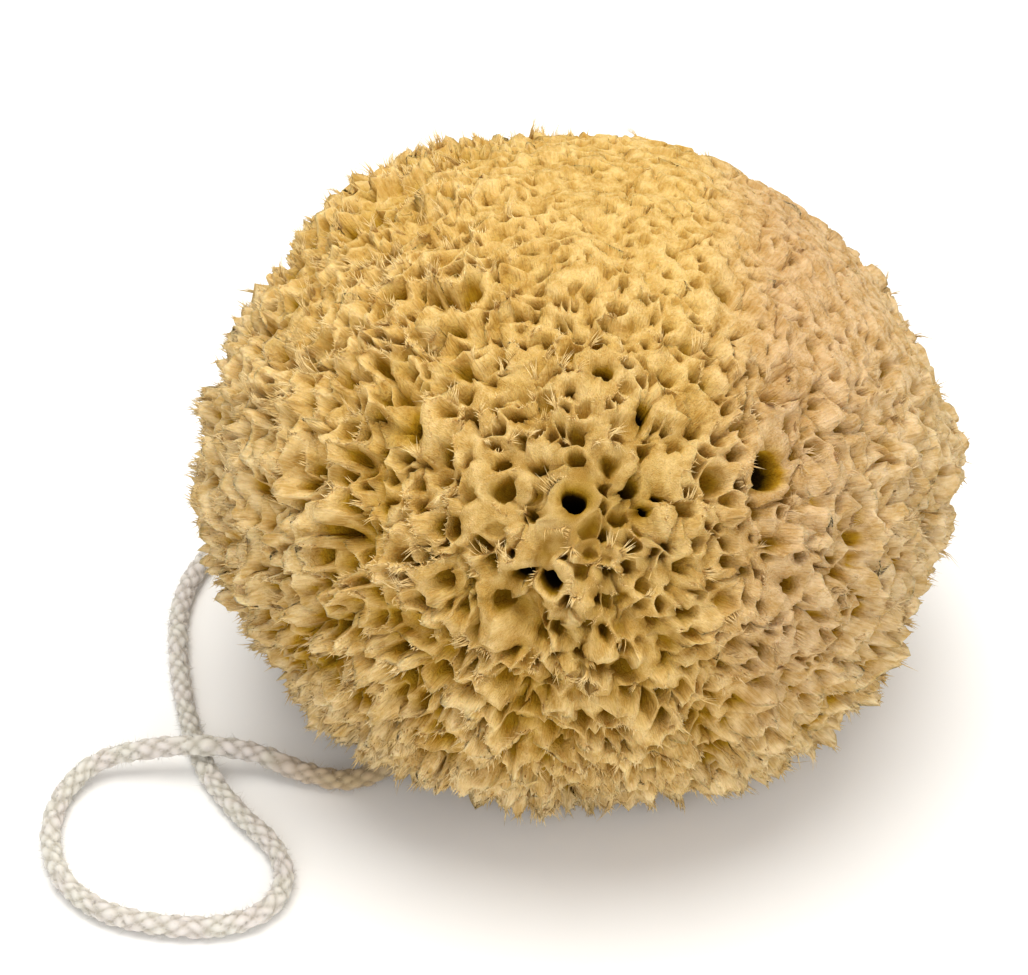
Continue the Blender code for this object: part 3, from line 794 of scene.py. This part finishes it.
def makeTufts(shape, name, material):
    # Clumps of longer fibre ends on some crests; each clump leans out over one of its crest's two pores
    halfEdges = np.nonzero(crestOf == np.arange(len(pitOf)))[0]
    middles = unit(junctions[triangleOf[halfEdges]] + junctions[triangleOf[twinOf[halfEdges]]])
    wanted = between(shape["tuftShare"], shagginess(middles)) * frayed(shape, middles)
    halfEdges = halfEdges[chance.random(len(halfEdges)) < wanted]
    share, directions, heights, roots, rays, along = frayRoots(halfEdges, shape["tuftCount"], shape["tuftSpread"])
    shag = shagginess(directions)
    sizes = chance.uniform(*shape["tuftLength"], (len(halfEdges), 1))
    lengths = sizes * chance.uniform(0.5, 1.1, heights.shape)
    overhang = chance.uniform(*shape["tuftLean"], (len(halfEdges), 1)) * chance.choice((-1.0, 1.0), (len(halfEdges), 1))
    lean = np.cross(rays, along) * overhang[..., None] + along * (0.9 * (0.5 - share))[..., None]
    lean = (lean + chance.normal(0.0, 0.17, roots.shape)) * lengths[..., None]
    tips = roots + rays * lengths[..., None] + lean
    keep = (heights > shape["lowest"]) & (roots[..., 2] > shape["baseRoom"]) & (tips[..., 2] > 0.2 * mm)
    keep = keep.ravel()
    # Each tuft fibre is painted along its length by the depth ramp, darker at the root as painted shade and pale at the
    # point as painted light
    heights = heights * (1.0 - between(crestShape["markLevel"], shag))
    flat = [values.reshape(-1, 3)[keep] for values in (roots - rays * shape["sunk"], rays, along, lean)]
    lengths, heights = (values.ravel()[keep] for values in (lengths + shape["sunk"], heights))
    widths = chance.uniform(*shape["tuftWidth"], len(lengths))
    return makeSpikes(name, flat[0], flat[1], flat[2], lengths, widths, widths, flat[3], material,
                      {"depth": (heights, heights + lengths + 2 * mm)})


# Sponge: its material

feltLook = {
    "pitFloor": "#2A1C00", "pitDeep": "#826004", "pitWall": "#B48C24", "wall": "#D0AB5E", "crest": "#E8C98A",
    "tip": "#F6E0B0",
    "pink": "#C9A888",              # upper right
    "olive": "#DCC69C",             # low edge and left
    "shade": "#D2C096",             # the darker streaks
    "streakCentre": (0.0, -42.0 * mm, 66.0 * mm),   # nearer the face than the canals', so the felt's nap lies flat
    "streakWidth": 0.55 * mm,
    "streakLength": 6.0 * mm,
    "grain": 0.5 * mm,
    "felted": True,                 # with relief and softness
}


def makeSpongin(name, look):
    # Spongin, the sponge's own horny fibre, felted as it grew: matt, soft, lit through its thin edges,
    # streaked the way it grew; olive brown where light hardly gets in is painted shade, and the paler crests and tips
    # are painted light
    material = bpy.data.materials.new(name)
    material.use_nodes = True
    tree = material.node_tree
    shader = tree.nodes["Principled BSDF"]
    place = addNode(tree, "ShaderNodeTexCoord").outputs["Object"]
    depth = addNode(tree, "ShaderNodeAttribute", {"attribute_name": "depth"}).outputs["Fac"]
    axes = addNode(tree, "ShaderNodeSeparateXYZ", None, {"Vector": place}).outputs

    def fade(value, low, high, most=1.0):
        return addNode(tree, "ShaderNodeMapRange", {"interpolation_type": "SMOOTHSTEP"}, {
            "Value": value, "From Min": low, "From Max": high, "To Max": most}).outputs["Result"]

    def mixed(amount, first, second, blend="MIX"):
        return addNode(tree, "ShaderNodeMix", {"data_type": "RGBA", "blend_type": blend}, {
            0: amount, 6: first, 7: second}).outputs[2]

    def times(first, second):
        return addNode(tree, "ShaderNodeMath", {"operation": "MULTIPLY"}, {0: first, 1: second}).outputs[0]

    # Painted shade and light: by its depth mark a point is painted from near-black olive in the deepest pits, as shade,
    # up to pale cream at the tips, as light
    lowest, highest = -12 * mm, 5 * mm
    level = addNode(tree, "ShaderNodeMapRange", None, {"Value": depth, "From Min": lowest, "From Max": highest})
    ramp = addNode(tree, "ShaderNodeValToRGB", None, {"Fac": level.outputs["Result"]})
    stops = ((-12 * mm, "pitFloor"), (-8.0 * mm, "pitDeep"), (-3.6 * mm, "pitWall"), (-1.0 * mm, "wall"),
             (1.5 * mm, "crest"), (5 * mm, "tip"))
    ramp.color_ramp.elements[0].color = linearColour(look[stops[0][1]])
    ramp.color_ramp.elements[1].color = linearColour(look[stops[-1][1]])
    for height, colour in stops[1:-1]:
        ramp.color_ramp.elements.new((height - lowest) / (highest - lowest)).color = linearColour(look[colour])
    pinkZone = times(fade(axes["X"], 16 * mm, 36 * mm), fade(axes["Z"], 15 * mm, 55 * mm, 0.65))
    fromFront = addNode(tree, "ShaderNodeVectorMath", {"operation": "DISTANCE"}, {
        0: place, 1: (-2 * mm, -48 * mm, 62 * mm)}).outputs["Value"]
    oliveZone = times(fade(fromFront, 18 * mm, 70 * mm, 0.75), fade(axes["Z"], 96 * mm, 60 * mm))
    onFelt = fade(depth, -4 * mm, 0.0)
    tinted = mixed(times(pinkZone, onFelt), ramp.outputs["Color"], linearColour(look["pink"]))
    tinted = mixed(times(oliveZone, onFelt), tinted, linearColour(look["olive"]))

    fromCentre = addNode(tree, "ShaderNodeVectorMath", {"operation": "SUBTRACT"}, {
        0: place, 1: look["streakCentre"]}).outputs["Vector"]
    outward = addNode(tree, "ShaderNodeVectorMath", {"operation": "NORMALIZE"}, {0: fromCentre}).outputs["Vector"]
    distance = addNode(tree, "ShaderNodeVectorMath", {"operation": "LENGTH"}, {0: fromCentre}).outputs["Value"]
    stretch = look["streakWidth"] / look["streakLength"]
    radius = addNode(tree, "ShaderNodeMath", {"operation": "MULTIPLY_ADD"}, {
        0: distance, 1: stretch, 2: 60 * mm}).outputs[0]
    along = addNode(tree, "ShaderNodeVectorMath", {"operation": "SCALE"}, {0: outward, "Scale": radius}).outputs["Vector"]
    streaks = addNode(tree, "ShaderNodeTexNoise", None, {
        "Vector": along, "Scale": 1.0 / look["streakWidth"], "Detail": 2.0, "Roughness": 0.55}).outputs["Fac"]
    clouds = addNode(tree, "ShaderNodeTexNoise", None, {
        "Vector": place, "Scale": 1.0 / (3 * mm), "Detail": 3.0}).outputs["Fac"]
    light = addNode(tree, "ShaderNodeMath", {"operation": "ADD"}, {
        0: times(fade(streaks, 0.3, 0.68), 0.4), 1: times(fade(clouds, 0.34, 0.64), 0.6)}).outputs[0]
    colour = mixed(light, mixed(1.0, tinted, linearColour(look["shade"]), "MULTIPLY"), tinted)
    if look["felted"]:
        grain = addNode(tree, "ShaderNodeTexNoise", None, {
            "Vector": place, "Scale": 1.0 / look["grain"], "Detail": 1.0, "Roughness": 0.6}).outputs["Fac"]
        relief = addNode(tree, "ShaderNodeMath", {"operation": "MULTIPLY_ADD"}, {
            0: grain, 1: 0.5, 2: streaks}).outputs[0]
        bump = addNode(tree, "ShaderNodeBump", None, {"Height": relief, "Strength": 1.0, "Distance": 0.42 * mm})
        tree.links.new(bump.outputs["Normal"], shader.inputs["Normal"])
        shader.inputs["Subsurface Weight"].default_value = 0.18
        shader.inputs["Subsurface Radius"].default_value = (1.0, 0.62, 0.25)
        shader.inputs["Subsurface Scale"].default_value = 1.5 * mm
    tree.links.new(colour, shader.inputs["Base Color"])
    shader.inputs["Roughness"].default_value = 0.95
    shader.inputs["Specular IOR Level"].default_value = 0.06
    return material


spongin = makeSpongin("spongin felt, grown and dried", feltLook)
# The fibre ends are painted paler than the felt, a painted highlight for light through thin fibres
frayedLook = {**feltLook, "wall": "#E2C078", "crest": "#EFD292", "tip": "#F9E0AA", "shade": "#E0D0A8", "felted": False}
frayedSpongin = makeSpongin("spongin fibre ends, frayed", frayedLook)
bodyPieces = makeBody(crestShape, spongin)
print("sponge body made:", [len(piece.data.polygons) for piece in bodyPieces])
frayPieces = makeTeeth(frayShape, ("teethA", "teethB"), frayedSpongin)
frayPieces.append(makeHairs(frayShape, "hairs", frayedSpongin))
frayPieces.append(makeTufts(frayShape, "tufts", frayedSpongin))
print("frayed edges made:", [len(piece.data.polygons) for piece in frayPieces])
for piece in bodyPieces + frayPieces:
    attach(piece, "root")
    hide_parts("sponge")


# Floor and light

studio = {
    "floorHalf": 3.0,
    "floorDrop": 0.0002,
    "floorColour": "#F6F5F3",
    "lights": (                     # name, place, width, power in watts, colour
        ("topSoftbox", (-0.04, 0.06, 0.85), 0.80, 7.1, "#FFFDF8"),
        ("frontFill", (-0.10, -0.95, 0.50), 0.90, 4.5, "#FFFFFF"),
        ("rightFill", (0.90, -0.35, 0.38), 0.60, 2.0, "#FFFFFF"),
    ),
    "worldStrength": 0.52,
}


def makeFloor(settings):
    half, level = settings["floorHalf"], -settings["floorDrop"]
    mesh = bpy.data.meshes.new("floor")
    mesh.from_pydata([(-half, -half, level), (half, -half, level), (half, half, level), (-half, half, level)],
                     [], [(0, 1, 2, 3)])
    material = bpy.data.materials.new("matt white paper")
    material.use_nodes = True
    shader = material.node_tree.nodes["Principled BSDF"]
    shader.inputs["Base Color"].default_value = linearColour(settings["floorColour"])
    shader.inputs["Roughness"].default_value = 0.9
    mesh.materials.append(material)
    floor = bpy.data.objects.new("floor", mesh)
    bpy.context.scene.collection.objects.link(floor)


def makeLight(name, place, width, power, colour):
    data = bpy.data.lights.new(name, "AREA")
    data.shape = "DISK"
    data.size = width
    data.energy = power
    data.color = linearColour(colour)[:3]
    light = bpy.data.objects.new(name, data)
    light.location = place
    light.rotation_euler = (Vector(formMiddle) - Vector(place)).to_track_quat("-Z", "Y").to_euler()
    bpy.context.scene.collection.objects.link(light)


makeFloor(studio)
for lamp in studio["lights"]:
    makeLight(*lamp)
world = bpy.data.worlds.new("studio")
world.use_nodes = True
world.node_tree.nodes["Background"].inputs["Color"].default_value = (1.0, 1.0, 1.0, 1.0)
world.node_tree.nodes["Background"].inputs["Strength"].default_value = studio["worldStrength"]
bpy.context.scene.world = world
bpy.context.scene.view_settings.view_transform = "Standard"
print("floor and lights set")
